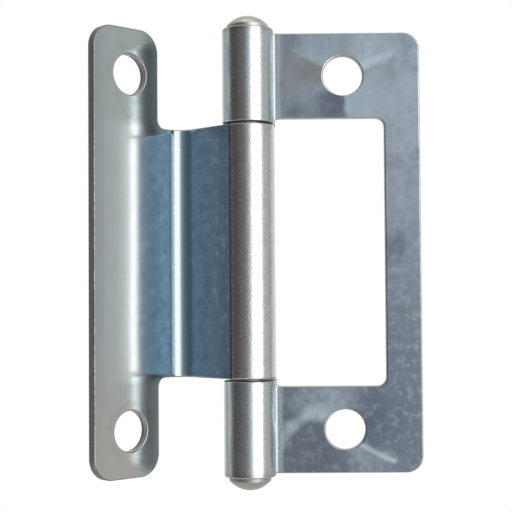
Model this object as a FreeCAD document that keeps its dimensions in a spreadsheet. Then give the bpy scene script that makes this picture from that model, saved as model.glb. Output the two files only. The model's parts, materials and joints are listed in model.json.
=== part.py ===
import FreeCAD, Part
import math
import os
import Sketcher

# Cranked flush hinge: a folded leaf with a right-angle crank, a flat leaf with a window, and a pin.
# Millimetres. +Z runs along the pin, +X from the pin across the flat leaf, +Y from its front to its back.
# The origin is midway between the flat leaf's two screw holes, on its back face.

# Driving dimensions
SIZES = {
    # Stock, pin and running fits
    "sheet_thickness": 1.2,
    "pin_diameter": 5.0,
    "running_clearance": 0.1,
    "knuckle_end_gap": 0.3,
    "seam_gap": 0.2,
    # Punching of both leaves
    "hole_diameter": 5.8,
    "punched_edge_radius": 0.2,
    # Cranked leaf: the flange is measured from the inside corner of the crank
    "tongue_height": 36.2,
    "crank_depth": 10.3,
    "crank_bend_radius": 2.0,
    "ear_inset": 4.4,
    "ear_width": 11.7,
    "ear_corner_radius": 3.2,
    "notch_corner_radius": 1.3,
    "flange_hole_inset": 5.2,
    "flange_hole_margin": 6.65,
    "rest_angle": 45.0,
    # Frame leaf: reaches are measured from the pin's axis
    "window_clearance": 1.4,
    "window_reach": 19.8,
    "window_corner_radius": 1.3,
    "end_bar_height": 12.5,
    "side_bar_width": 5.2,
    "frame_corner_radius": 2.4,
    "frame_bend_radius": 0.7,
    "shoulder_width": 0.2,
    "shoulder_radius": 0.4,
    "frame_hole_reach": 13.8,
    # Pin heads, spread over the knuckle ends
    "head_overhang": 0.5,
    "head_rim_height": 0.55,
    "dome_height": 1.45,
}

# Sizes that follow from the driving dimensions
PIN_RADIUS = "(Sizes.pin_diameter / 2)"
OUTER_KNUCKLE = f"({PIN_RADIUS} + Sizes.sheet_thickness)"
MIDDLE_BORE = f"({PIN_RADIUS} + Sizes.running_clearance)"
MIDDLE_KNUCKLE = f"({MIDDLE_BORE} + Sizes.sheet_thickness)"
HALF_TONGUE = "(Sizes.tongue_height / 2)"
HALF_SLOT = f"({HALF_TONGUE} + Sizes.knuckle_end_gap)"
HALF_WINDOW = f"({HALF_TONGUE} + Sizes.window_clearance)"
HALF_LEAF = f"({HALF_WINDOW} + Sizes.end_bar_height)"
EAR_EDGE = f"(-{MIDDLE_KNUCKLE} - Sizes.ear_inset)"
FLANGE_END = f"({EAR_EDGE} - Sizes.ear_width)"
FLANGE_HOLES = f"({EAR_EDGE} - Sizes.flange_hole_inset)"
FLANGE_HOLE_HEIGHT = f"({HALF_LEAF} - Sizes.flange_hole_margin)"
FRAME_EDGE = "(Sizes.window_reach + Sizes.side_bar_width)"
FRAME_HOLE_HEIGHT = f"({HALF_WINDOW} + Sizes.end_bar_height / 2)"
SHOULDER = f"({OUTER_KNUCKLE} + Sizes.shoulder_width)"
SHOULDER_RADIUS = "min(Sizes.shoulder_radius; (Sizes.window_clearance - Sizes.knuckle_end_gap) / 2)"
HEAD_RADIUS = f"({PIN_RADIUS} + Sizes.head_overhang)"
HEAD_RIM = f"({HALF_LEAF} + Sizes.head_rim_height)"
HEAD_TIP = f"({HEAD_RIM} + Sizes.dome_height)"

# A cut drawn this far past the sheet leaves no skin behind
CUT_MARGIN = "2 * Sizes.sheet_thickness"
# How closely an edge has to match the place that it is looked for
NEAR = 0.001

# Sketch references: the points of a curve, and the sketch's own origin
START, END, CENTRE = 1, 2, 3
ORIGIN = (-1, START)

X_AXIS = FreeCAD.Vector(1, 0, 0)
Y_AXIS = FreeCAD.Vector(0, 1, 0)
Z_AXIS = FreeCAD.Vector(0, 0, 1)

doc = FreeCAD.newDocument("cranked_hinge")


def make_sheet():
    """Put the driving dimensions into a spreadsheet, one named row each."""
    sheet = doc.addObject("Spreadsheet::Sheet", "Sizes")
    for row, (alias, value) in enumerate(SIZES.items(), 1):
        sheet.set(f"A{row}", alias)
        sheet.set(f"B{row}", str(value))
        sheet.setAlias(f"B{row}", alias)
    doc.recompute()
    return sheet


sheet = make_sheet()


def value_of(expression):
    """The present value of a size expression."""
    return float(sheet.evalExpression(expression))


def spot(x, y):
    """A sketch point from two size expressions."""
    return FreeCAD.Vector(value_of(x), value_of(y), 0)


def new_body(label):
    body = doc.addObject("PartDesign::Body", label)
    body.Label = label
    return body


def new_sketch(body, name, role):
    """A sketch on one of the body's own origin planes."""
    sketch = body.newObject("Sketcher::SketchObject", name)
    plane = next(item for item in body.Origin.OriginFeatures if item.Role == role)
    sketch.AttachmentSupport = (plane, [""])
    sketch.MapMode = "FlatFace"
    return sketch


def dimension(sketch, name, expression, kind, *items):
    """Add a named dimension that follows a size expression."""
    index = sketch.addConstraint(Sketcher.Constraint(kind, *items, value_of(expression)))
    sketch.renameConstraint(index, name)
    sketch.setExpression(f".Constraints.{name}", expression)


def hold(sketch, name, axis, geometry, end, expression):
    """Hold one point at a signed distance from the origin along the sketch's X or Y axis."""
    if value_of(expression) < 0:
        dimension(sketch, name, f"-{expression}", f"Distance{axis}", geometry, end, *ORIGIN)
    else:
        dimension(sketch, name, expression, f"Distance{axis}", *ORIGIN, geometry, end)


def constrain(sketch, kind, *items):
    sketch.addConstraint(Sketcher.Constraint(kind, *items))


def parallel(first, second):
    """Whether two directions of unit length lie along one line."""
    return first.cross(second).Length < NEAR


def line(sketch, start, end):
    return sketch.addGeometry(Part.LineSegment(start, end), False)


def arc(sketch, start, middle, end):
    return sketch.addGeometry(Part.ArcOfCircle(start, middle, end), False)


def square_outline(sketch, name, corners):
    """Closed outline of level and upright sides, through corners given as (x, y) expressions."""
    count = len(corners)
    points = [spot(*corner) for corner in corners]
    sides = [line(sketch, points[i], points[(i + 1) % count]) for i in range(count)]
    for i, side in enumerate(sides):
        constrain(sketch, "Coincident", side, END, sides[(i + 1) % count], START)
        upright = corners[i][0] == corners[(i + 1) % count][0]
        constrain(sketch, "Vertical" if upright else "Horizontal", side)
        axis = "X" if upright else "Y"
        hold(sketch, f"{name}_{i}", axis, side, START, corners[i][0 if upright else 1])


def circles(sketch, name, across, heights, diameter):
    """Equal circles at one distance across the sheet and several heights."""
    for i, height in enumerate(heights):
        radius = value_of(diameter) / 2
        circle = Part.Circle(spot(across, height), Z_AXIS, radius)
        index = sketch.addGeometry(circle, False)
        hold(sketch, f"{name}_across_{i}", "X", index, CENTRE, across)
        hold(sketch, f"{name}_height_{i}", "Y", index, CENTRE, height)
        dimension(sketch, f"{name}_diameter_{i}", diameter, "Diameter", index)


def pad_both_ways(body, sketch, name, half_length):
    """Thicken a sketch to both sides of its plane."""
    pad = body.newObject("PartDesign::Pad", name)
    pad.Profile = sketch
    pad.SideType = "Symmetric"
    pad.setExpression("Length", f"2 * {half_length}")
    doc.recompute()


def cut_both_ways(body, sketch, name):
    """Cut a sketch through the whole body, to both sides of its plane."""
    before = body.Shape.Volume
    pocket = body.newObject("PartDesign::Pocket", name)
    pocket.Profile = sketch
    pocket.SideType = "Symmetric"
    pocket.Type = "ThroughAll"
    doc.recompute()
    if not body.Shape.Volume < before:
        raise RuntimeError(f"{name} cut nothing")


def round_edges(body, name, wanted, radius):
    """Round the edges of the body that the test picks, and tell how many they are."""
    base = body.Tip
    names = [f"Edge{i}" for i, edge in enumerate(base.Shape.Edges, 1) if wanted(edge)]
    fillet = body.newObject("PartDesign::Fillet", name)
    fillet.Base = (base, names)
    fillet.setExpression("Radius", radius)
    doc.recompute()
    return len(names)


def round_corners(body, name, direction, across, corners, radius):
    """Round straight edges through the sheet, at corners given as (across, height) expressions."""
    places = [(value_of(place), value_of(height)) for place, height in corners]

    def wanted(edge):
        if not isinstance(edge.Curve, Part.Line):
            return False
        if not parallel(edge.Curve.Direction, direction):
            return False
        middle = edge.CenterOfMass
        return any(abs(middle.dot(across) - x) < NEAR and abs(middle.z - z) < NEAR for x, z in places)

    found = round_edges(body, name, wanted, radius)
    if found != len(corners):
        raise RuntimeError(f"{name} found {found} edges, not {len(corners)}")


def round_punched_side(body, name, flats, rolls):
    """Round the outline and the hole rims of the side that the sheet was punched from.

    That side is made of flats, given by direction and distance, and of rolls, given by radius.
    """
    places = [(direction, value_of(distance)) for direction, distance in flats]
    radii = [value_of(radius) for radius in rolls]

    def on_flat(plane):
        return any(
            parallel(plane.Axis, direction) and abs(plane.Position.dot(direction) - distance) < NEAR
            for direction, distance in places
        )

    def on_roll(cylinder):
        return parallel(cylinder.Axis, Z_AXIS) and any(abs(cylinder.Radius - size) < NEAR for size in radii)

    def on_punched_side(face):
        if isinstance(face.Surface, Part.Plane):
            return on_flat(face.Surface)
        return isinstance(face.Surface, Part.Cylinder) and on_roll(face.Surface)

    side = [face for face in body.Tip.Shape.Faces if on_punched_side(face)]

    def on_outline(edge):
        return sum(any(edge.isSame(other) for other in face.Edges) for face in side) == 1

    round_edges(body, name, on_outline, "Sizes.punched_edge_radius")


def both_signs(expression):
    return [expression, f"(-{expression})"]


def place_on_pin(body, turn):
    """Move a body that was drawn about the pin's axis to its place, turned about the pin."""
    body.setExpression(".Placement.Base.x", "-Sizes.frame_hole_reach")
    body.setExpression(".Placement.Base.y", f"-{OUTER_KNUCKLE}")
    body.setExpression(".Placement.Rotation.Angle", turn)


def cranked_section(body):
    """Section of the cranked leaf: flange, crank, tongue and a knuckle rolled round the pin's axis.

    The tongue lies along -X with its front face tangent to the knuckle, and the flange along -Y.
    """
    sketch = new_sketch(body, "cranked_section", "XY_Plane")
    outer = value_of(MIDDLE_KNUCKLE)
    bore = value_of(MIDDLE_BORE)
    depth = value_of("Sizes.crank_depth")
    sheet_size = outer - bore
    bend = value_of("Sizes.crank_bend_radius")
    bend_centre = FreeCAD.Vector(bend - depth, -outer - bend, 0)
    rim_y = value_of("Sizes.seam_gap") - bore
    rim_x = -(outer ** 2 - rim_y ** 2) ** 0.5
    roll_end = FreeCAD.Vector(rim_x, rim_y, 0)
    diagonal = (Y_AXIS - X_AXIS).normalize()

    def bend_arc(radius):
        start = bend_centre + Y_AXIS * radius
        return arc(sketch, start, bend_centre + diagonal * radius, bend_centre - X_AXIS * radius)

    def roll_arc(radius):
        return arc(sketch, -Y_AXIS * radius, X_AXIS * radius, roll_end * (radius / outer))

    front_corner = FreeCAD.Vector(-depth, value_of(FLANGE_END), 0)
    back_corner = front_corner - X_AXIS * sheet_size
    flange_front = line(sketch, front_corner, bend_centre - X_AXIS * bend)
    inner_bend = bend_arc(bend)
    tongue_front = line(sketch, bend_centre + Y_AXIS * bend, -Y_AXIS * outer)
    outer_roll = roll_arc(outer)
    roll_edge = line(sketch, roll_end, roll_end * (bore / outer))
    inner_roll = roll_arc(bore)
    tongue_back = line(sketch, -Y_AXIS * bore, bend_centre + Y_AXIS * (bend + sheet_size))
    outer_bend = bend_arc(bend + sheet_size)
    flange_back = line(sketch, bend_centre - X_AXIS * (bend + sheet_size), back_corner)
    flange_edge = line(sketch, back_corner, front_corner)

    constrain(sketch, "Tangent", flange_front, END, inner_bend, END)
    constrain(sketch, "Tangent", inner_bend, START, tongue_front, START)
    constrain(sketch, "Tangent", tongue_front, END, outer_roll, START)
    constrain(sketch, "Coincident", outer_roll, END, roll_edge, START)
    constrain(sketch, "Coincident", roll_edge, END, inner_roll, END)
    constrain(sketch, "Tangent", inner_roll, START, tongue_back, START)
    constrain(sketch, "Tangent", tongue_back, END, outer_bend, START)
    constrain(sketch, "Tangent", outer_bend, END, flange_back, START)
    constrain(sketch, "Coincident", flange_back, END, flange_edge, START)
    constrain(sketch, "Coincident", flange_edge, END, flange_front, START)
    constrain(sketch, "Coincident", outer_roll, CENTRE, *ORIGIN)
    constrain(sketch, "Coincident", inner_roll, CENTRE, *ORIGIN)
    constrain(sketch, "Coincident", outer_bend, CENTRE, inner_bend, CENTRE)
    constrain(sketch, "PointOnObject", *ORIGIN, roll_edge)
    constrain(sketch, "Vertical", flange_front)
    constrain(sketch, "Horizontal", tongue_front)
    constrain(sketch, "Horizontal", flange_edge)
    dimension(sketch, "outer_roll", MIDDLE_KNUCKLE, "Radius", outer_roll)
    dimension(sketch, "inner_roll", MIDDLE_BORE, "Radius", inner_roll)
    dimension(sketch, "inner_bend", "Sizes.crank_bend_radius", "Radius", inner_bend)
    hold(sketch, "crank_depth", "X", flange_front, START, "(-Sizes.crank_depth)")
    hold(sketch, "flange_end", "Y", flange_edge, START, FLANGE_END)
    dimension(sketch, "seam", "Sizes.seam_gap", "DistanceY", tongue_back, START, outer_roll, END)
    return sketch


def make_cranked_leaf():
    body = new_body("cranked_leaf")
    pad_both_ways(body, cranked_section(body), "cranked_sheet", HALF_LEAF)

    notches = new_sketch(body, "notches", "YZ_Plane")
    past_knuckle = f"({MIDDLE_KNUCKLE} + {CUT_MARGIN})"
    for name, sign in (("upper", ""), ("lower", "-")):
        near = f"({sign}{HALF_TONGUE})"
        far = f"({sign}({HALF_LEAF} + {CUT_MARGIN}))"
        corners = [(EAR_EDGE, near), (past_knuckle, near), (past_knuckle, far), (EAR_EDGE, far)]
        square_outline(notches, name, corners)
    cut_both_ways(body, notches, "notch_cut")

    ear_corners = [(y, z) for y in (FLANGE_END, EAR_EDGE) for z in both_signs(HALF_LEAF)]
    round_corners(body, "ear_corners", X_AXIS, Y_AXIS, ear_corners, "Sizes.ear_corner_radius")
    notch_corners = [(EAR_EDGE, z) for z in both_signs(HALF_TONGUE)]
    round_corners(body, "notch_corners", X_AXIS, Y_AXIS, notch_corners, "Sizes.notch_corner_radius")

    holes = new_sketch(body, "flange_holes", "YZ_Plane")
    circles(holes, "hole", FLANGE_HOLES, both_signs(FLANGE_HOLE_HEIGHT), "Sizes.hole_diameter")
    cut_both_ways(body, holes, "flange_hole_cut")
    flats = [(X_AXIS, "-Sizes.crank_depth"), (Y_AXIS, f"-{MIDDLE_KNUCKLE}")]
    round_punched_side(body, "cranked_edges", flats, ["Sizes.crank_bend_radius", MIDDLE_KNUCKLE])
    place_on_pin(body, "-Sizes.rest_angle")
    return body


def frame_section(body):
    """Section of the frame leaf: a flat sheet whose edge bends forward and rolls round the pin's axis.

    The flat sheet's back face lies level with the back of the knuckle.
    """
    sketch = new_sketch(body, "frame_section", "XY_Plane")
    outer = value_of(OUTER_KNUCKLE)
    bore = value_of(PIN_RADIUS)
    sheet_size = outer - bore
    bend = value_of("Sizes.frame_bend_radius")
    reach = value_of(FRAME_EDGE)
    centre_y = bore - bend
    centre_x = ((outer + bend) ** 2 - centre_y ** 2) ** 0.5
    bend_centre = FreeCAD.Vector(centre_x, centre_y, 0)
    to_bend = FreeCAD.Vector(bend_centre).normalize()
    bend_middle = (Y_AXIS - to_bend).normalize()
    spread = outer + bend
    seam_reach = bend + sheet_size + value_of("Sizes.seam_gap")
    cosine = (outer ** 2 + spread ** 2 - seam_reach ** 2) / (2 * outer * spread)
    turn = math.degrees(math.atan2(centre_y, centre_x) + math.acos(cosine))
    roll_end = FreeCAD.Rotation(Z_AXIS, turn).multVec(X_AXIS)

    def bend_arc(radius):
        start = bend_centre + Y_AXIS * radius
        return arc(sketch, start, bend_centre + bend_middle * radius, bend_centre - to_bend * radius)

    def roll_arc(radius):
        return arc(sketch, roll_end * radius, -X_AXIS * radius, to_bend * radius)

    leaf_front = line(sketch, FreeCAD.Vector(reach, bore, 0), FreeCAD.Vector(centre_x, bore, 0))
    inner_bend = bend_arc(bend)
    outer_roll = roll_arc(outer)
    roll_edge = line(sketch, roll_end * outer, roll_end * bore)
    inner_roll = roll_arc(bore)
    outer_bend = bend_arc(bend + sheet_size)
    leaf_back = line(sketch, FreeCAD.Vector(centre_x, outer, 0), FreeCAD.Vector(reach, outer, 0))
    leaf_edge = line(sketch, FreeCAD.Vector(reach, outer, 0), FreeCAD.Vector(reach, bore, 0))

    constrain(sketch, "Tangent", leaf_front, END, inner_bend, START)
    constrain(sketch, "Tangent", inner_bend, END, outer_roll, END)
    constrain(sketch, "Coincident", outer_roll, START, roll_edge, START)
    constrain(sketch, "Coincident", roll_edge, END, inner_roll, START)
    constrain(sketch, "Tangent", inner_roll, END, outer_bend, END)
    constrain(sketch, "Tangent", outer_bend, START, leaf_back, START)
    constrain(sketch, "Coincident", leaf_back, END, leaf_edge, START)
    constrain(sketch, "Coincident", leaf_edge, END, leaf_front, START)
    constrain(sketch, "Coincident", outer_roll, CENTRE, *ORIGIN)
    constrain(sketch, "Coincident", inner_roll, CENTRE, *ORIGIN)
    constrain(sketch, "Coincident", outer_bend, CENTRE, inner_bend, CENTRE)
    constrain(sketch, "PointOnObject", *ORIGIN, roll_edge)
    constrain(sketch, "Horizontal", leaf_front)
    constrain(sketch, "Vertical", leaf_edge)
    dimension(sketch, "outer_roll", OUTER_KNUCKLE, "Radius", outer_roll)
    dimension(sketch, "inner_roll", PIN_RADIUS, "Radius", inner_roll)
    dimension(sketch, "inner_bend", "Sizes.frame_bend_radius", "Radius", inner_bend)
    hold(sketch, "leaf_front", "Y", leaf_front, START, PIN_RADIUS)
    hold(sketch, "leaf_edge", "X", leaf_edge, START, FRAME_EDGE)
    seam = "Sizes.frame_bend_radius + Sizes.sheet_thickness + Sizes.seam_gap"
    dimension(sketch, "seam", seam, "Distance", outer_roll, START, outer_bend, CENTRE)
    return sketch


def make_frame_leaf():
    body = new_body("frame_leaf")
    pad_both_ways(body, frame_section(body), "frame_sheet", HALF_LEAF)

    window = new_sketch(body, "window", "XZ_Plane")
    past_knuckle = f"(-{OUTER_KNUCKLE} - {CUT_MARGIN})"
    upper = [(past_knuckle, HALF_SLOT), (SHOULDER, HALF_SLOT), (SHOULDER, HALF_WINDOW)]
    upper.append(("Sizes.window_reach", HALF_WINDOW))
    lower = [(x, f"(-{z})") for x, z in reversed(upper)]
    square_outline(window, "window", upper + lower)
    cut_both_ways(body, window, "window_cut")

    frame_corners = [(FRAME_EDGE, z) for z in both_signs(HALF_LEAF)]
    round_corners(body, "frame_corners", Y_AXIS, X_AXIS, frame_corners, "Sizes.frame_corner_radius")
    window_corners = [("Sizes.window_reach", z) for z in both_signs(HALF_WINDOW)]
    round_corners(body, "window_corners", Y_AXIS, X_AXIS, window_corners, "Sizes.window_corner_radius")
    shoulders = [(SHOULDER, z) for z in both_signs(HALF_WINDOW)]
    round_corners(body, "shoulders", Y_AXIS, X_AXIS, shoulders, SHOULDER_RADIUS)

    holes = new_sketch(body, "frame_holes", "XZ_Plane")
    across = "Sizes.frame_hole_reach"
    circles(holes, "hole", across, both_signs(FRAME_HOLE_HEIGHT), "Sizes.hole_diameter")
    cut_both_ways(body, holes, "frame_hole_cut")
    flats = [(Y_AXIS, PIN_RADIUS)]
    round_punched_side(body, "frame_edges", flats, ["Sizes.frame_bend_radius", OUTER_KNUCKLE])
    place_on_pin(body, "0")
    return body


def make_hinge_pin():
    """Round pin whose ends are spread into domed heads over the knuckle ends."""
    body = new_body("hinge_pin")
    sketch = new_sketch(body, "pin_profile", "XZ_Plane")
    rim = value_of(HEAD_RIM)
    tip = value_of(HEAD_TIP)
    head = value_of(HEAD_RADIUS)
    dome_rise = tip - rim
    dome = (head ** 2 + dome_rise ** 2) / (2 * dome_rise)
    dome_side = FreeCAD.Vector(head / 2, tip - dome + (dome ** 2 - (head / 2) ** 2) ** 0.5, 0)
    corners = [
        (HEAD_RADIUS, HEAD_RIM),
        (HEAD_RADIUS, HALF_LEAF),
        (PIN_RADIUS, HALF_LEAF),
        (PIN_RADIUS, f"(-{HALF_LEAF})"),
        (HEAD_RADIUS, f"(-{HALF_LEAF})"),
        (HEAD_RADIUS, f"(-{HEAD_RIM})"),
    ]
    points = [spot(*corner) for corner in corners]
    sides = [line(sketch, start, end) for start, end in zip(points, points[1:])]
    for i, side in enumerate(sides):
        upright = i % 2 == 0
        constrain(sketch, "Vertical" if upright else "Horizontal", side)
        hold(sketch, f"side_{i}", "X" if upright else "Y", side, START, corners[i][0 if upright else 1])
    for before, after in zip(sides, sides[1:]):
        constrain(sketch, "Coincident", before, END, after, START)

    top = FreeCAD.Vector(0, tip, 0)
    upper_dome = arc(sketch, points[0], dome_side, top)
    lower_side = FreeCAD.Vector(dome_side.x, -dome_side.y, 0)
    lower_dome = arc(sketch, -top, lower_side, points[-1])
    core = line(sketch, top, -top)
    constrain(sketch, "Coincident", upper_dome, START, sides[0], START)
    constrain(sketch, "Coincident", upper_dome, END, core, START)
    constrain(sketch, "Coincident", lower_dome, END, sides[-1], END)
    constrain(sketch, "Coincident", lower_dome, START, core, END)
    constrain(sketch, "Vertical", core, START, *ORIGIN)
    constrain(sketch, "Vertical", core, END, *ORIGIN)
    constrain(sketch, "Vertical", upper_dome, CENTRE, *ORIGIN)
    constrain(sketch, "Vertical", lower_dome, CENTRE, *ORIGIN)
    hold(sketch, "upper_rim", "Y", sides[0], START, HEAD_RIM)
    hold(sketch, "lower_rim", "Y", sides[-1], END, f"(-{HEAD_RIM})")
    hold(sketch, "upper_tip", "Y", core, START, HEAD_TIP)
    hold(sketch, "lower_tip", "Y", core, END, f"(-{HEAD_TIP})")

    turned = body.newObject("PartDesign::Revolution", "turned_pin")
    turned.Profile = sketch
    turned.ReferenceAxis = (sketch, ["V_Axis"])
    turned.Angle = 360
    doc.recompute()
    place_on_pin(body, "0")
    return body


def check(parts):
    """Stop if any object failed to recompute or any part is not one sound solid."""
    for item in doc.Objects:
        if "Invalid" in item.State or "Error" in item.State:
            raise RuntimeError(f"{item.Name} failed: {item.State}")
    for body in parts:
        if body.Shape.isNull() or not body.Shape.isValid() or len(body.Shape.Solids) != 1:
            raise RuntimeError(f"{body.Label} is not one sound solid")


parts = [make_cranked_leaf(), make_frame_leaf(), make_hinge_pin()]
doc.recompute()
check(parts)
os.makedirs("parts", exist_ok=True)
for body in parts:
    body.Shape.exportStep(f"parts/{body.Label}.step")
    box = body.Shape.optimalBoundingBox()
    print(body.Label, round(body.Shape.Volume, 2), [round(v, 3) for v in (box.XMin, box.YMin, box.ZMin)],
          [round(v, 3) for v in (box.XMax, box.YMax, box.ZMax)])
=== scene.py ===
import json
import math

import bpy
from mathutils import Matrix, Vector


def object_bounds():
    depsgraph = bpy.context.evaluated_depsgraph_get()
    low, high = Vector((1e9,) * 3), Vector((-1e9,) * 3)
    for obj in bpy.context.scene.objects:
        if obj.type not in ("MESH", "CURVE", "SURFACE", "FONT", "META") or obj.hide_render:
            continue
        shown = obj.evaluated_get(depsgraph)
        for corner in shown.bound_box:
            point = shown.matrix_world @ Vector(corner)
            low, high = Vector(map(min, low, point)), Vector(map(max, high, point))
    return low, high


# Cranked flush hinge in bright zinc plate, seen from the front in a plain white studio.
# Metres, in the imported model's frame: +Z along the pin, +X across the frame leaf, +Y away from the camera.
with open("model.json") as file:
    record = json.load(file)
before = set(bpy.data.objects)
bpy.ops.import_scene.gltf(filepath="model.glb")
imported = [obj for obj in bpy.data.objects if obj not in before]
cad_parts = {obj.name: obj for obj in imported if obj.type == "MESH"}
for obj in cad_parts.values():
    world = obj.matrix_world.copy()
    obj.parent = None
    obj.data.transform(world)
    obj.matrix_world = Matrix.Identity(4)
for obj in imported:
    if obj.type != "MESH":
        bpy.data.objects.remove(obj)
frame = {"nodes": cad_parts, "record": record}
cad_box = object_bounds()

MM = 0.001

# Camera, as fitted to the object's outlines
CAMERA_AT = Vector((-0.01105, -0.18787, -0.00711))
CAMERA_YAW = -0.00944
CAMERA_PITCH = 0.03515
CAMERA_ROLL = -0.00684
CAMERA_LENS = 90.34
CAMERA_SENSOR = 36

# Studio: light from each side by the angle from the camera's side towards +X, in degrees
STUDIO_SIDES = [
    (-180, (1.00, 1.00, 1.00)),
    (-140, (0.60, 0.61, 0.61)),
    (-112, (0.42, 0.43, 0.43)),
    (-97, (0.68, 0.72, 0.71)),
    (-84, (0.10, 0.095, 0.10)),
    (-60, (0.085, 0.08, 0.08)),
    (-36, (0.15, 0.135, 0.135)),
    (-14, (0.20, 0.19, 0.195)),
    (0, (0.40, 0.43, 0.47)),
    (7, (0.645, 0.71, 0.775)),
    (13, (0.97, 1.01, 1.05)),
    (25, (2.95, 2.97, 2.97)),
    (48, (2.95, 2.95, 2.93)),
    (64, (0.55, 0.55, 0.54)),
    (100, (0.53, 0.54, 0.53)),
    (140, (0.85, 0.86, 0.85)),
    (180, (1.00, 1.00, 1.00)),
]
CEILING_LIGHT = (0.62, 0.62, 0.60, 1)
GROUND_LIGHT = (0.20, 0.19, 0.19, 1)
BACKDROP = (1, 1, 1, 1)
# Sines of the elevations between which the walls pass into the ceiling or the ground
WALL_TOP = (0.45, 0.85)
# How far along +Y a mirrored ray points, of 1, where it starts to meet the white backdrop and where it does
BACKDROP_SIDE = (0.75, 0.98)

LAMP_HEIGHT = 0.8
LAMP_SIZE = 0.5
LAMP_RADIANCE = 1.0

FLOOR_COLOUR = (0.9, 0.9, 0.9, 1)
FLOOR_HEIGHT = -0.1
FLOOR_SIZE = 2.0
FLOOR_SHADOW_REACH = (0.12, 0.35)

# Places of a mix node's factor and two colours among its inputs, and of its colour among its outputs
MIX_INPUTS = (0, 6, 7)
MIX_OUTPUT = 2


class Graph:
    """A node tree, with short ways to add and join nodes."""

    def __init__(self, owner):
        owner.use_nodes = True
        self.tree = owner.node_tree
        self.tree.nodes.clear()

    def add(self, kind, inputs=None, **settings):
        """A new node with its settings; inputs are values, or sockets to link from."""
        node = self.tree.nodes.new(kind)
        for name, value in settings.items():
            setattr(node, name, value)
        for name, value in (inputs or {}).items():
            self.put(value, node.inputs[name])
        return node

    def put(self, value, socket):
        if isinstance(value, bpy.types.NodeSocket):
            self.tree.links.new(value, socket)
        else:
            socket.default_value = value

    def math(self, operation, *values, clamp=False):
        node = self.add("ShaderNodeMath", dict(enumerate(values)), operation=operation, use_clamp=clamp)
        return node.outputs[0]

    def times(self, *values):
        """The product of several values."""
        product = values[0]
        for value in values[1:]:
            product = self.math("MULTIPLY", product, value)
        return product

    def total(self, *values):
        """The sum of several values."""
        whole = values[0]
        for value in values[1:]:
            whole = self.math("ADD", whole, value)
        return whole

    def most(self, first, second):
        """The larger of two values."""
        return self.math("MAXIMUM", first, second)

    def rest(self, share):
        """What a share leaves of 1."""
        return self.math("SUBTRACT", 1.0, share)

    def held(self, value, low, high):
        """A value kept between two limits."""
        return self.math("MINIMUM", self.most(value, low), high)

    def spread(self, value, low, high):
        """A value from 0 to 1 laid out between two others."""
        return self.math("MULTIPLY_ADD", value, high - low, low)

    def smooth_step(self, value, start, end, top=1.0):
        """0 at the start and top at the end, level beyond them and smooth between."""
        limits = {"Value": value, "From Min": start, "From Max": end, "To Max": top}
        return self.add("ShaderNodeMapRange", limits, interpolation_type="SMOOTHSTEP").outputs["Result"]

    def vector(self, operation, *values):
        node = self.add("ShaderNodeVectorMath", dict(enumerate(values)), operation=operation)
        return node.outputs["Vector"]

    def dot(self, first, second):
        node = self.add("ShaderNodeVectorMath", {0: first, 1: second}, operation="DOT_PRODUCT")
        return node.outputs["Value"]

    def length(self, vector):
        return self.add("ShaderNodeVectorMath", {0: vector}, operation="LENGTH").outputs["Value"]

    def mix(self, factor, first, second):
        """A colour between two colours."""
        node = self.add("ShaderNodeMix", dict(zip(MIX_INPUTS, (factor, first, second))), data_type="RGBA")
        return node.outputs[MIX_OUTPUT]

    def colours_round(self, angle, stops):
        """Colours by an angle in radians, given as (degrees, colour) stops from -180 to 180."""
        node = self.add("ShaderNodeValToRGB", {0: self.math("MULTIPLY_ADD", angle, 1 / math.tau, 0.5)})
        elements = node.color_ramp.elements
        while len(elements) < len(stops):
            elements.new(0.5)
        for element, (degrees, colour) in zip(elements, stops):
            element.position = degrees / 360 + 0.5
            element.color = (*colour, 1)
        return node.outputs["Color"]


def make_camera():
    level = math.cos(CAMERA_PITCH)
    ahead = Vector((math.sin(CAMERA_YAW) * level, math.cos(CAMERA_YAW) * level, math.sin(CAMERA_PITCH)))
    right = Vector((math.cos(CAMERA_YAW), -math.sin(CAMERA_YAW), 0))
    turn = Matrix((right, right.cross(ahead), -ahead)).transposed()
    data = bpy.data.cameras.new("camera")
    data.lens = CAMERA_LENS
    data.sensor_width = CAMERA_SENSOR
    camera = bpy.data.objects.new("camera", data)
    roll = Matrix.Rotation(CAMERA_ROLL, 4, "Z")
    camera.matrix_world = Matrix.Translation(CAMERA_AT) @ turn.to_4x4() @ roll
    bpy.context.collection.objects.link(camera)
    bpy.context.scene.camera = camera


def make_world():
    """Studio walls of soft light, with a white backdrop for the camera and for what mirrors it."""
    world = bpy.data.worlds.new("studio")
    bpy.context.scene.world = world
    graph = Graph(world)
    toward = graph.add("ShaderNodeTexCoord").outputs["Generated"]
    x, y, z = graph.add("ShaderNodeSeparateXYZ", {0: toward}).outputs
    walls = graph.colours_round(graph.math("ARCTAN2", x, graph.times(y, -1.0)), STUDIO_SIDES)
    roofed = graph.mix(graph.smooth_step(z, *WALL_TOP), walls, CEILING_LIGHT)
    room = graph.mix(graph.smooth_step(graph.times(z, -1.0), *WALL_TOP), roofed, GROUND_LIGHT)
    rays = graph.add("ShaderNodeLightPath").outputs
    mirrored = graph.most(rays["Is Glossy Ray"], rays["Is Transmission Ray"])
    behind = graph.times(mirrored, graph.smooth_step(y, *BACKDROP_SIDE))
    white = graph.most(rays["Is Camera Ray"], behind)
    lit = graph.add("ShaderNodeBackground", {"Color": room, "Strength": 1.0})
    plain = graph.add("ShaderNodeBackground", {"Color": BACKDROP, "Strength": 1.0})
    shown = graph.add("ShaderNodeMixShader", {0: white, 1: lit.outputs[0], 2: plain.outputs[0]})
    graph.add("ShaderNodeOutputWorld", {"Surface": shown.outputs[0]})


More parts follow.
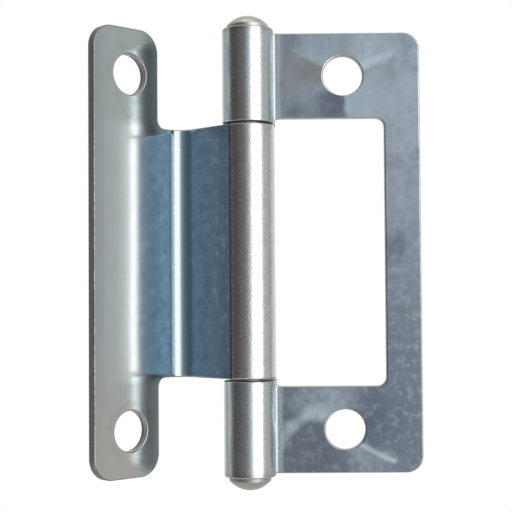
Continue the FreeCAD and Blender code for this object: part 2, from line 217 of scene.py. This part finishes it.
def make_lamp():
    """Soft lamp overhead, which gives the floor its shadow."""
    data = bpy.data.lights.new("lamp", "AREA")
    data.size = LAMP_SIZE
    data.energy = LAMP_RADIANCE * math.pi * LAMP_SIZE ** 2
    lamp = bpy.data.objects.new("lamp", data)
    lamp.location = (cad_box[0] + cad_box[1]) / 2 + Vector((0, 0, LAMP_HEIGHT))
    lamp.visible_camera = False
    bpy.context.collection.objects.link(lamp)


def floor_material():
    """Pale floor that keeps the shadow close to the object and passes into the white further off."""
    material = bpy.data.materials.new("floor")
    graph = Graph(material)
    place = graph.add("ShaderNodeTexCoord").outputs["Object"]
    far = graph.smooth_step(graph.length(place), *FLOOR_SHADOW_REACH)
    matt = graph.add("ShaderNodeBsdfDiffuse", {"Color": FLOOR_COLOUR})
    gone = graph.add("ShaderNodeBsdfTransparent")
    shown = graph.add("ShaderNodeMixShader", {0: far, 1: matt.outputs[0], 2: gone.outputs[0]})
    graph.add("ShaderNodeOutputMaterial", {"Surface": shown.outputs[0]})
    return material


def make_floor():
    half = FLOOR_SIZE / 2
    corners = [(-half, -half, 0), (half, -half, 0), (half, half, 0), (-half, half, 0)]
    mesh = bpy.data.meshes.new("floor")
    mesh.from_pydata(corners, [], [(0, 1, 2, 3)])
    mesh.materials.append(floor_material())
    floor = bpy.data.objects.new("floor", mesh)
    floor.location.z = FLOOR_HEIGHT
    bpy.context.collection.objects.link(floor)


# Zinc plate, with places in millimetres from here on.
# A soft edge is (start, end), by a place or a noise's value; a third value is what it reaches instead of 1.
# A noise is (size of its clouds, detail); a third value draws the clouds out by axis.
# Specks are (size, spacing, share of the places that have one).
ZINC = (0.63, 0.68, 0.69, 1)
ZINC_WARM = (0.62, 0.63, 0.62, 1)
ZINC_DULL = (0.48, 0.53, 0.53, 1)
SPECK = (0.80, 0.82, 0.82, 1)
SHEARED = (0.24, 0.21, 0.22, 1)
# Dark colour for worn patches on the pin's heads, and for painted shade on the lower head and the knuckles'
# shoulders
DARK_WEAR_AND_SHADE = (0.38, 0.365, 0.355, 1)

UP = (0, 0, 1)
# How squarely a surface faces up or down, of 1, where it starts to count as a cut edge and where it does
FACES_UP = (0.35, 0.7)

SPECK_CORE = 0.4
STIPPLE = (0.18, 2.0)
GRAIN = (0.12, 0.0)
GRAIN_SPOTS = (0.48, 0.62)
SHEARED_ROUGHNESS = 0.3


class Surface(Graph):
    """A metal material, with its place in millimetres and the way that its surface faces."""

    def __init__(self, name):
        self.material = bpy.data.materials.new(name)
        super().__init__(self.material)
        own = self.add("ShaderNodeTexCoord").outputs
        self.facing = own["Normal"]
        self.place = self.vector("MULTIPLY", own["Object"], (1 / MM,) * 3)
        parts = self.add("ShaderNodeSeparateXYZ", {0: self.place}).outputs
        self.x = parts["X"]
        self.z = parts["Z"]
        self.high = self.math("ABSOLUTE", self.z)

    def noise(self, size, detail, stretch=(1, 1, 1)):
        """Cloudy values from 0 to 1, with clouds of about a size, drawn out by axis."""
        scale = tuple(1 / (size * factor) for factor in stretch)
        spread = self.vector("MULTIPLY", self.place, scale)
        return self.add("ShaderNodeTexNoise", {"Vector": spread, "Scale": 1.0, "Detail": detail}).outputs[0]

    def faces(self, way, start, end):
        """1 where the surface faces along a way, on either side of the sheet."""
        return self.smooth_step(self.math("ABSOLUTE", self.dot(self.facing, way)), start, end)

    def specks(self, size, spacing, share):
        """Small round specks, on a share of the places where one could be."""
        spots = self.add("ShaderNodeTexVoronoi", {"Vector": self.place, "Scale": 1 / spacing})
        near = self.smooth_step(spots.outputs["Distance"], size / spacing, SPECK_CORE * size / spacing)
        pick = self.add("ShaderNodeSeparateColor", {0: spots.outputs["Color"]}).outputs[0]
        return self.times(near, self.math("LESS_THAN", pick, share))

    def grain(self):
        """Fine spots that are rougher than the rest."""
        return self.smooth_step(self.noise(*GRAIN), *GRAIN_SPOTS)

    def metal(self, colour, roughness, height):
        """Bare plated metal; the height is in millimetres."""
        bump = self.add("ShaderNodeBump", {"Height": height, "Distance": MM, "Strength": 1.0})
        finish = {"Base Color": colour, "Metallic": 1.0, "Roughness": roughness, "Normal": bump.outputs[0]}
        shader = self.add("ShaderNodeBsdfPrincipled", finish)
        self.add("ShaderNodeOutputMaterial", {"Surface": shader.outputs[0]})
        return self.material


# Cranked leaf in plan: the crank's inside corner, and the ways from it along the leaf's two sides
MOUNTS = {mount["name"]: mount for mount in frame["record"]["mounts"]}
FLANGE_SCREWS = MOUNTS["flange_screws"]
HOLE_FROM_CORNER = 9.6
HOLE_HEIGHT = FLANGE_SCREWS["dims"]["pcd_mm"] / 2
HOLE_RADIUS = FLANGE_SCREWS["dims"]["hole_r_mm"]
FLANGE_FACING = Vector(FLANGE_SCREWS["axis"])
ALONG_TONGUE = FLANGE_FACING
ALONG_FLANGE = Vector((FLANGE_FACING.y, -FLANGE_FACING.x, 0))
CRANK_CORNER = Vector(FLANGE_SCREWS["pos_m"]) / MM - HOLE_FROM_CORNER * ALONG_FLANGE

# By the distance along the tongue: where the tongue and the knuckle start
ON_TONGUE = (0.4, 1.8)
KNUCKLE_START = (10.3, 10.9)
# By the distance along the flange, which is below 0 behind the tongue: the knuckle's back
KNUCKLE_BACK = (-1.5, -2.0)
# By the height from the leaf's middle: its ears stand out past the tongue's edge
EARS = (17.6, 19.4)
UPPER_HALF = (-17.6, 17.6)
CRANK_CLOUDS = (3.0, 3.0)

# Bluish colour in the crank, a painted reflection of the blue that the fold mirrors, with painted shade
# deeper along the tongue
ZINC_BLUE = (0.425, 0.54, 0.59, 1)
ZINC_TEAL = (0.455, 0.58, 0.61, 1)
ZINC_INNER = (0.395, 0.525, 0.665, 1)
DEEP_PAINTED_SHADE = (0.15, 0.205, 0.265, 1)
PAINTED_BLUE_PALE = (0.56, 0.67, 0.72, 1)
PAINTED_BLUE_DARK = (0.22, 0.31, 0.36, 1)
PAINTED_BLUE_OFF_FLANGE = (4.6, 8.2)
PAINTED_BLUE_ON_UPPER_EAR = 0.28
PAINTED_TEALS = (0.25, 0.75)
DEEPER_SHADE_ALONG_TONGUE = (3.5, 9.5)
MOTTLE = (1.2, 6.0)
MOTTLED_PALE = (0.45, 0.8, 0.45)
MOTTLED_DARK = (0.52, 0.25, 0.5)

# Painted shade and highlight across the bend, which shape the line that it reflects, by the distance along
# the tongue less the one along the flange: it starts dark, turns paler and ends. The sum of the two
# distances tells the bend's inside from its outside.
BEND_PAINTED_SHADE = (0.30, 0.335, 0.345, 1)
BEND_PAINTED_HIGHLIGHT = (0.40, 0.70, 0.84, 1)
BEND_STARTS = (-2.5, -1.9)
BEND_PALES = (0.1, 0.8)
BEND_ENDS = (2.3, 1.6)
BEND_INSIDE = (0.85, 1.15)

# Flange, by the distance along it: a painted highlight in the middle, where it mirrors the knuckle's bright
# stripe, darker towards its free side, duller on its ears
FLANGE_ZINC = (0.64, 0.71, 0.735, 1)
FLANGE_PAINTED_HIGHLIGHT = (0.89, 0.97, 0.985, 1)
SIDE_ZINC = (0.48, 0.515, 0.545, 1)
EAR_PAINTED_SHADE = (0.31, 0.38, 0.43, 1)
EAR_WARM = (0.685, 0.615, 0.57, 1)
FLANGE_STAINS = (0.3, 0.75)
FLANGE_HIGHLIGHT_REACH = (13.0, 9.2)
FLANGE_SIDE = (13.0, 15.6, 0.8)
EAR_DULLNESS = 0.35
# The upper ear has painted shade towards the crank, and the flange is warmer away from it below a height
EAR_SHADE = (8.2, 5.6, 0.7)
WARM_PAST = (7.5, 9.5)
WARM_BELOW = (-10.0, -29.0, 0.6)

# Knuckle: stains drawn out along it, a browner root beside the tongue in painted shade, and a painted shadow
# in the crease between them
KNUCKLE_ZINC = (0.73, 0.725, 0.725, 1)
KNUCKLE_STAIN = (0.66, 0.635, 0.63, 1)
KNUCKLE_SHADE_BROWN = (0.70, 0.59, 0.575, 1)
CREASE_PAINTED_SHADOW = (0.10, 0.11, 0.13, 1)
DRAWN = (0.8, 4.0, (1, 1, 2.5))
DRAWN_STAINS = (0.35, 0.7)
KNUCKLE_ROOT = (12.9, 10.8, 0.7)
ROOT_FRONT = (-1.6, -0.8)
CREASE_IN = (10.0, 10.35, 0.9)
CREASE_OUT = (10.9, 10.35)

# Sheared edges: past the bend, all that doesn't face as the flange does
PAST_BEND = (2.0, 2.6)
FACES_FLANGE = (0.97, 0.998)
# A burr on the front of the flange's free side, in stretches below a height. BURR_FRONT and WALL_FRONT run
# through the sheet from its back to its front, at 0.
BURR_SIDE = (15.7, 15.85)
BURR_FRONT = (-0.4, -0.25)
BURR_BELOW = (22.0, 10.0, 0.3)
BURR = (0.6, 2.0)
BURR_STRETCHES = (0.48, 0.56)
# A screw hole's wall is lighter towards the front
WALL_FRONT = (-0.9, -0.5, 0.4)
# By the distance from a screw hole's middle: its wall, and a dull ring round it
HOLE_WALL = (HOLE_RADIUS + 0.6, HOLE_RADIUS + 0.3)
RING_INSIDE = (HOLE_RADIUS + 0.3, HOLE_RADIUS + 0.8)
RING_OUTSIDE = (HOLE_RADIUS + 1.9, HOLE_RADIUS + 1.0, 0.5)
RING_STRETCHES = (0.3, 0.6)

# Scratches in the crank's upper half, and dust near its bend
SCRATCHES = (1.0, 1.0, (8, 8, 0.12))
SCRATCH_LINES = (0.58, 0.748)
SCRATCHED = (4.0, 15.0, 0.3)
DUST = (0.2, 0.9, 0.5)
DUSTY = (5.0, 2.0, 0.35)

# Roughness, and what the grain, the knuckle and the ears' inner part add to it
CRANK_HAZE = (0.5, 3.0)
CRANK_ROUGHNESS = (0.07, 0.13)
CRANK_GRAIN = (0.05, 0.12)
KNUCKLE_ROUGHNESS = 0.06
EAR_ROUGHNESS = 0.1

# Relief: the flange bows slightly, rising from its middle to both sides, the face sinks a little round
# the bend, which softens it, and the tongue opens by a small slope
BOW_MIDDLE = 9.0
BOW_TO_BEND = (BOW_MIDDLE, 2.4, 0.066)
BOW_TO_SIDE = (BOW_MIDDLE, 14.0, 0.038)
BEND_SINKS = (-1.2, 2.0, -0.21)
TONGUE_SPAN = (0.5, 10.0)
TONGUE_OPENING = 0.02
STIPPLED = (10.8, 12.0)
CRANK_STIPPLE = (0.003, 0.018)
CRANK_WAVE = (6.0, 0.0)
CRANK_WAVE_DEPTH = 0.012


class CrankedZinc(Surface):
    """Folded leaf: a bluish painted reflection in the crank, a stippled knuckle and dark sheared edges."""

    def __init__(self):
        super().__init__("cranked_zinc")
        out = self.vector("MULTIPLY", self.vector("SUBTRACT", self.place, CRANK_CORNER), (1, 1, 0))
        self.along_flange = self.dot(out, ALONG_FLANGE)
        self.along_tongue = self.dot(out, ALONG_TONGUE)
        self.round_bend = self.math("SUBTRACT", self.along_tongue, self.along_flange)
        self.from_hole = self.hole_distance()
        self.on_tongue = self.smooth_step(self.along_tongue, *ON_TONGUE)
        self.knuckle_back = self.smooth_step(self.along_flange, *KNUCKLE_BACK)
        past_tongue = self.smooth_step(self.along_tongue, *KNUCKLE_START)
        self.on_knuckle = self.most(past_tongue, self.knuckle_back)
        self.on_ears = self.smooth_step(self.high, *EARS)
        self.off_ears = self.rest(self.on_ears)
        self.upper = self.smooth_step(self.z, *UPPER_HALF)
        off_flange = self.smooth_step(self.along_flange, *PAINTED_BLUE_OFF_FLANGE)
        self.in_crank = self.times(self.rest(off_flange), self.rest(past_tongue))
        self.clouds = self.noise(*CRANK_CLOUDS)

    def hole_distance(self):
        """Distance along the flange's face from the middle of the nearer screw hole."""
        across = self.math("SUBTRACT", self.along_flange, HOLE_FROM_CORNER)
        above = self.math("SUBTRACT", self.high, HOLE_HEIGHT)
        return self.length(self.add("ShaderNodeCombineXYZ", {0: across, 1: above}).outputs[0])

    def painted_blue_plate(self):
        # Painted reflection: the fold's blue, mottled at random, with painted shade deeper along the tongue
        shallow = self.mix(self.smooth_step(self.clouds, *PAINTED_TEALS), ZINC_BLUE, ZINC_TEAL)
        inner = self.mix(self.on_tongue, shallow, ZINC_INNER)
        even = self.mix(self.smooth_step(self.along_tongue, *DEEPER_SHADE_ALONG_TONGUE), inner, DEEP_PAINTED_SHADE)
        mottle = self.noise(*MOTTLE)
        paler = self.mix(self.smooth_step(mottle, *MOTTLED_PALE), even, PAINTED_BLUE_PALE)
        return self.mix(self.smooth_step(mottle, *MOTTLED_DARK), paler, PAINTED_BLUE_DARK)

    def crank_plate(self):
        """The painted blue, with painted shade and highlight across the bend."""
        from_corner = self.math("ADD", self.along_tongue, self.along_flange)
        at_bend = self.times(
            self.smooth_step(self.round_bend, *BEND_STARTS),
            self.smooth_step(self.round_bend, *BEND_ENDS),
            self.smooth_step(from_corner, *BEND_INSIDE))
        # Painted shade on the flange side of the bend, passing into a painted highlight on the tongue side
        painted_shading = self.mix(self.smooth_step(self.round_bend, *BEND_PALES), BEND_PAINTED_SHADE, BEND_PAINTED_HIGHLIGHT)
        return self.mix(at_bend, self.painted_blue_plate(), painted_shading)

    def flange_plate(self):
        flat = self.mix(self.smooth_step(self.clouds, *FLANGE_STAINS), FLANGE_ZINC, ZINC)
        # Painted highlight: the colour is brightened where the flange mirrors the knuckle's bright stripe
        highlight_band = self.times(self.off_ears, self.smooth_step(self.along_flange, *FLANGE_HIGHLIGHT_REACH))
        highlighted = self.mix(highlight_band, flat, FLANGE_PAINTED_HIGHLIGHT)
        sided = self.mix(self.smooth_step(self.along_flange, *FLANGE_SIDE), highlighted, SIDE_ZINC)
        dulled = self.mix(self.times(self.on_ears, EAR_DULLNESS), sided, ZINC_DULL)
        below = self.smooth_step(self.z, *WARM_BELOW)
        warm = self.times(below, self.smooth_step(self.along_flange, *WARM_PAST))
        # Painted shade on the upper ear, deepening towards the crank
        shade = self.times(self.on_ears, self.upper, self.smooth_step(self.along_flange, *EAR_SHADE))
        return self.mix(shade, self.mix(warm, dulled, EAR_WARM), EAR_PAINTED_SHADE)

    def knuckle_plate(self):
        stained = self.mix(self.smooth_step(self.noise(*DRAWN), *DRAWN_STAINS), KNUCKLE_ZINC, KNUCKLE_STAIN)
        # Painted shade: the knuckle's side beside the tongue, which faces the dark side of the room, is
        # darkened and browned
        beside = self.smooth_step(self.along_tongue, *KNUCKLE_ROOT)
        shaded_root = self.times(beside, self.smooth_step(self.along_flange, *ROOT_FRONT))
        return self.mix(shaded_root, stained, KNUCKLE_SHADE_BROWN)

    def plate(self):
        """The leaf's plate all over, with a painted shadow in the crease beside the knuckle and the rings
        round the holes.
        """
        # The painted blue covers the crank, and partly the upper ear
        painted_blue = self.times(self.in_crank, self.most(self.off_ears, self.times(self.upper, PAINTED_BLUE_ON_UPPER_EAR)))
        sheet = self.mix(painted_blue, self.flange_plate(), self.crank_plate())
        whole = self.mix(self.on_knuckle, sheet, self.knuckle_plate())
        # Painted shadow: a dark line in the crease between the tongue and the knuckle
        crease_shadow = self.times(
            self.smooth_step(self.along_tongue, *CREASE_IN),
            self.smooth_step(self.along_tongue, *CREASE_OUT))
        ring = self.times(
            self.smooth_step(self.from_hole, *RING_OUTSIDE),
            self.smooth_step(self.from_hole, *RING_INSIDE),
            self.smooth_step(self.clouds, *RING_STRETCHES))
        return self.mix(ring, self.mix(crease_shadow, whole, CREASE_PAINTED_SHADOW), ZINC_DULL)

    def sheared(self):
        """1 on the cut edges, and less on the burr and towards the front of the holes' walls."""
        past_bend = self.smooth_step(self.along_flange, *PAST_BEND)
        off_face = self.times(past_bend, self.rest(self.faces(FLANGE_FACING, *FACES_FLANGE)))
        burr = self.times(
            self.smooth_step(self.along_flange, *BURR_SIDE),
            self.smooth_step(self.along_tongue, *BURR_FRONT),
            self.smooth_step(self.z, *BURR_BELOW),
            self.smooth_step(self.noise(*BURR), *BURR_STRETCHES))
        at_hole = self.smooth_step(self.from_hole, *HOLE_WALL)
        lighter_wall = self.times(at_hole, self.smooth_step(self.along_tongue, *WALL_FRONT))
        cut = self.most(self.faces(UP, *FACES_UP), off_face)
        return self.times(cut, self.rest(burr), self.rest(lighter_wall))

    def marks(self):
        """Fine scratches and pale dust inside the crank."""
        lines = self.smooth_step(self.noise(*SCRATCHES), *SCRATCH_LINES)
        scratched = self.times(lines, self.smooth_step(self.z, *SCRATCHED))
        dusty = self.times(self.specks(*DUST), self.smooth_step(self.along_tongue, *DUSTY))
        return self.times(self.in_crank, self.most(scratched, dusty))

    def roughness(self, sheared):
        return self.total(
            self.spread(self.noise(*CRANK_HAZE), *CRANK_ROUGHNESS),
            self.times(self.grain(), self.spread(self.on_tongue, *CRANK_GRAIN)),
            self.times(self.on_knuckle, KNUCKLE_ROUGHNESS),
            self.times(self.in_crank, self.on_ears, EAR_ROUGHNESS),
            self.times(sheared, SHEARED_ROUGHNESS))

    def relief(self):
        stippled = self.most(self.smooth_step(self.along_tongue, *STIPPLED), self.knuckle_back)
        return self.total(
            self.smooth_step(self.along_flange, *BOW_TO_BEND),
            self.smooth_step(self.along_flange, *BOW_TO_SIDE),
            self.smooth_step(self.round_bend, *BEND_SINKS),
            self.times(self.held(self.along_tongue, *TONGUE_SPAN), -TONGUE_OPENING),
            self.times(self.noise(*STIPPLE), self.spread(stippled, *CRANK_STIPPLE)),
            self.times(self.noise(*CRANK_WAVE), CRANK_WAVE_DEPTH))

    def finish(self):
        sheared = self.sheared()
        colour = self.mix(sheared, self.mix(self.marks(), self.plate(), SPECK), SHEARED)
        return self.metal(colour, self.roughness(sheared), self.relief())


# Frame leaf, by the place across it: the bend out of the knuckles, and the flat leaf
LEAF_START = (-9.6, -8.8)
LEAF_BEND = (-11.0, -10.5)
LEAF_CLOUDS = (5.0, 4.0)

# Tones of the flat leaf, which is darker towards its lower end
LIGHT = (0.575, 0.655, 0.695)
MIDDLE = (0.45, 0.495, 0.535)
BROWN = (0.395, 0.37, 0.355)
DUSK = (0.23, 0.26, 0.30)
DARK = (0.17, 0.19, 0.235)
LEAF_ZINC = (*MIDDLE, 1)
LEAF_DARK_TONE = (*DUSK, 1)
LEAF_STREAK = (0.80, 0.86, 0.88, 1)
LEAF_STAINS = (0.48, 0.75)
TOWARDS_TOP = (-22.0, 26.0)
DARKER_BELOW_ABOVE = (0.95, 0.0)
SMEARS = (1.1, 5.0)
SMEARED_PALE = (0.45, 0.75, 0.24)
SMEARED_DARK = (0.5, 0.25, 0.4)
SMEARS_BELOW_ABOVE = (1.0, 0.35)

# Faint light and dark rays round a screw hole, by the angle from +X towards +Z in front view
LEAF_HOLE_HEIGHT = MOUNTS["frame_screws"]["dims"]["spacing_y_mm"] / 2
RAYS_NEAR = (12.0, 4.0, 0.9)
RAY_WAVER = (3.0, 2.0)
RAY_WAVER_ANGLES = (-0.25, 0.25)
UPPER_RAYS = [
    (-180, BROWN),
    (-150, MIDDLE),
    (-125, DUSK),
    (-112, DARK),
    (-92, DARK),
    (-84, LIGHT),
    (10, MIDDLE),
    (24, LIGHT),
    (90, MIDDLE),
    (140, LIGHT),
    (152, LIGHT),
    (160, BROWN),
    (180, BROWN),
]
LOWER_RAYS = [
    (-180, DUSK),
    (-95, DUSK),
    (-60, MIDDLE),
    (-30, DUSK),
    (15, DARK),
    (60, DUSK),
    (95, MIDDLE),
    (150, LIGHT),
    (168, DUSK),
    (180, DUSK),
]

# Pale streaks in front view, as (start, end, width, strength) with the two ends as (x, z)
STREAKS = [
    ((2.6, 27.2), (7.4, 29.6), 1.1, 0.6),
    ((-2.4, -22.8), (-4.6, -22.6), 1.5, 0.6),
    ((-4.6, -22.6), (-7.0, -24.2), 1.5, 0.6),
    ((-7.0, -24.2), (-9.3, -28.0), 1.4, 0.7),
    ((2.8, -27.2), (7.6, -29.6), 0.7, 0.8),
]
STREAK_WAVER_SCALE = 0.12
STREAK_WAVER_REACH = 1.6
STREAK_CLOUDS = (4.0, 0.0)
STREAK_STRENGTHS = (0.6, 1.0)

# Upper and lower knuckles, with painted shade on their rounded shoulders beside the pin's heads and in the
# bend
BEND_SHADE = (0.40, 0.45, 0.46, 1)
ROLLED_STAINS = (0.3, 0.75)
BESIDE_HEADS = (30.9, 31.9, 0.6)

# Edges, and the specks and pits of the leaf's worn lower part
LEAF_EDGE = (0.44, 0.43, 0.43, 1)
LEAF_FACING = (0, 1, 0)
FACES_LEAF = (0.5, 0.95)
WORN_BELOW = (12.0, -14.0, 0.5)
LEAF_SPECKS = (0.22, 1.0, 0.3)
SPECK_PATCHES = (0.4, 0.55)
PITS = (0.3, 1.9, 0.3)

# Roughness and relief; a pair that runs from the knuckles to the leaf gives the value on each
LEAF_HAZE = (0.6, 3.0)
LEAF_ROUGHNESS = (0.12, 0.2)
KNUCKLE_TO_LEAF_GRAIN = (0.13, 0.05)
BEND_ROUGHNESS = 0.12
KNUCKLE_TO_LEAF_STIPPLE = (0.013, 0.003)
LEAF_WAVE = (7.0, 2.0)
WAVE_MIDDLE = 0.5
WAVY = (-11.0, -5.0)
KNUCKLE_TO_LEAF_WAVE = (0.015, 0.08)


class FrameZinc(Surface):
    """Flat leaf: cloudy bluish plate with stains, specks and streaks, and plainer knuckles."""

    def __init__(self):
        super().__init__("frame_zinc")
        self.on_leaf = self.smooth_step(self.x, *LEAF_START)
        self.off_leaf = self.rest(self.on_leaf)
        self.in_bend = self.times(self.smooth_step(self.x, *LEAF_BEND), self.off_leaf)
        self.clouds = self.noise(*LEAF_CLOUDS)
        waver = self.add(
            "ShaderNodeTexNoise", {"Vector": self.place, "Scale": STREAK_WAVER_SCALE, "Detail": 0.0})
        shift = self.vector("MULTIPLY", waver.outputs["Color"], (STREAK_WAVER_REACH,) * 3)
        self.wavering = self.vector("ADD", self.place, shift)

    def in_front_view(self, place, x, z):
        """The way in front view from a point to a place."""
        return self.vector("MULTIPLY", self.vector("SUBTRACT", place, (x, 0, z)), (1, 0, 1))

    def rays(self, hole, stops):
        """Colours round a screw hole by angle, slightly wavering."""
        waver = self.spread(self.noise(*RAY_WAVER), *RAY_WAVER_ANGLES)
        angle = self.math("ARCTAN2", self.math("SUBTRACT", self.z, hole), self.x)
        return self.colours_round(self.math("ADD", angle, waver), stops)

    def streak(self, start, end, width):
        """A soft line in front view, from one (x, z) to another."""
        way = Vector((end[0] - start[0], 0, end[1] - start[1]))
        out = self.in_front_view(self.wavering, *start)
        along = self.math("ADD", self.dot(out, way / way.length_squared), 0.0, clamp=True)
        nearest = self.vector("MULTIPLY", way, along)
        return self.smooth_step(self.length(self.vector("SUBTRACT", out, nearest)), width, 0.0)

    def leaf_plate(self):
        upward = self.smooth_step(self.z, *TOWARDS_TOP)
        ground = self.mix(self.smooth_step(self.clouds, *LEAF_STAINS), LEAF_ZINC, LEAF_DARK_TONE)
        plate = self.mix(self.spread(upward, *DARKER_BELOW_ABOVE), ground, LEAF_DARK_TONE)
        for hole, stops in ((LEAF_HOLE_HEIGHT, UPPER_RAYS), (-LEAF_HOLE_HEIGHT, LOWER_RAYS)):
            from_hole = self.length(self.in_front_view(self.place, 0, hole))
            plate = self.mix(self.smooth_step(from_hole, *RAYS_NEAR), plate, self.rays(hole, stops))
        smears = self.noise(*SMEARS)
        smeared = self.spread(upward, *SMEARS_BELOW_ABOVE)
        pale = self.times(self.smooth_step(smears, *SMEARED_PALE), smeared)
        dark = self.times(self.smooth_step(smears, *SMEARED_DARK), smeared)
        return self.mix(dark, self.mix(pale, plate, LEAF_STREAK), LEAF_DARK_TONE)

    def streaked(self, plate):
        clouds = self.spread(self.noise(*STREAK_CLOUDS), *STREAK_STRENGTHS)
        for start, end, width, strength in STREAKS:
            mark = self.times(self.streak(start, end, width), clouds, strength)
            plate = self.mix(mark, plate, LEAF_STREAK)
        return plate

    def knuckle_plate(self):
        rolled = self.mix(self.smooth_step(self.clouds, *ROLLED_STAINS), ZINC, ZINC_WARM)
        # Painted shade on the knuckles' rounded shoulders beside the pin's heads
        painted_shading = self.times(self.smooth_step(self.high, *BESIDE_HEADS), self.off_leaf)
        # Painted shade in the bend into the leaf, under the shoulders' painted shade
        return self.mix(painted_shading, self.mix(self.in_bend, rolled, BEND_SHADE), DARK_WEAR_AND_SHADE)

    def marked(self, plate):
        """The plate with its dark pits and pale specks."""
        worn = self.times(self.smooth_step(self.z, *WORN_BELOW), self.on_leaf)
        pitted = self.mix(self.times(self.specks(*PITS), worn), plate, SHEARED)
        patches = self.smooth_step(self.clouds, *SPECK_PATCHES)
        return self.mix(self.times(self.specks(*LEAF_SPECKS), worn, patches), pitted, SPECK)

    def sheared(self):
        """1 on the cut edges."""
        off_face = self.times(self.on_leaf, self.rest(self.faces(LEAF_FACING, *FACES_LEAF)))
        return self.most(self.faces(UP, *FACES_UP), off_face)

    def roughness(self, sheared):
        return self.total(
            self.spread(self.noise(*LEAF_HAZE), *LEAF_ROUGHNESS),
            self.times(self.grain(), self.spread(self.on_leaf, *KNUCKLE_TO_LEAF_GRAIN)),
            self.times(self.in_bend, BEND_ROUGHNESS),
            self.times(sheared, SHEARED_ROUGHNESS))

    def relief(self):
        wave = self.math("SUBTRACT", self.noise(*LEAF_WAVE), WAVE_MIDDLE)
        depth = self.spread(self.smooth_step(self.x, *WAVY), *KNUCKLE_TO_LEAF_WAVE)
        stipple = self.times(self.noise(*STIPPLE), self.spread(self.on_leaf, *KNUCKLE_TO_LEAF_STIPPLE))
        return self.total(stipple, self.times(wave, depth))

    def finish(self):
        sheared = self.sheared()
        plate = self.mix(self.on_leaf, self.knuckle_plate(), self.streaked(self.leaf_plate()))
        colour = self.mix(sheared, self.marked(plate), LEAF_EDGE)
        return self.metal(colour, self.roughness(sheared), self.relief())


# Pin: the heads turn from rim to dome at a height, and the lower head is darkened by painted shade
DOME = (0.56, 0.55, 0.51, 1)
PIN_CLOUDS = (1.6, 4.0)
PIN_WEAR = (0.4, 0.75)
PIN_GRAIN = (0.35, 3.0)
LOWER_HEAD_SHADE = (5.0, -5.0, 0.75)
HEAD_RIM = (33.1, 32.7, 0.16)
PIN_ROUGHNESS = (0.24, 0.36)
PIN_GRAIN_DEPTH = 0.012
PIN_CLOUD_DEPTH = 0.03


def pin_zinc():
    """Pin: heads in a warmer, duller plate with worn patches and painted shade on the lower head, rougher at
    their rims.
    """
    skin = Surface("pin_zinc")
    clouds = skin.noise(*PIN_CLOUDS)
    grain = skin.noise(*PIN_GRAIN)
    # Worn patches, and painted shade over the lower head
    worn = skin.most(skin.smooth_step(clouds, *PIN_WEAR), skin.smooth_step(skin.z, *LOWER_HEAD_SHADE))
    colour = skin.mix(worn, DOME, DARK_WEAR_AND_SHADE)
    roughness = skin.total(skin.spread(grain, *PIN_ROUGHNESS), skin.smooth_step(skin.high, *HEAD_RIM))
    height = skin.total(skin.times(grain, PIN_GRAIN_DEPTH), skin.times(clouds, PIN_CLOUD_DEPTH))
    return skin.metal(colour, roughness, height)


def dress(node, material):
    """Give a CAD node one material all over."""
    mesh = frame["nodes"][node].data
    mesh.materials.clear()
    mesh.materials.append(material)


bpy.context.scene.view_settings.view_transform = "Standard"
make_camera()
make_world()
make_lamp()
make_floor()
dress("cranked_leaf", CrankedZinc().finish())
dress("frame_leaf", FrameZinc().finish())
dress("hinge_pin", pin_zinc())
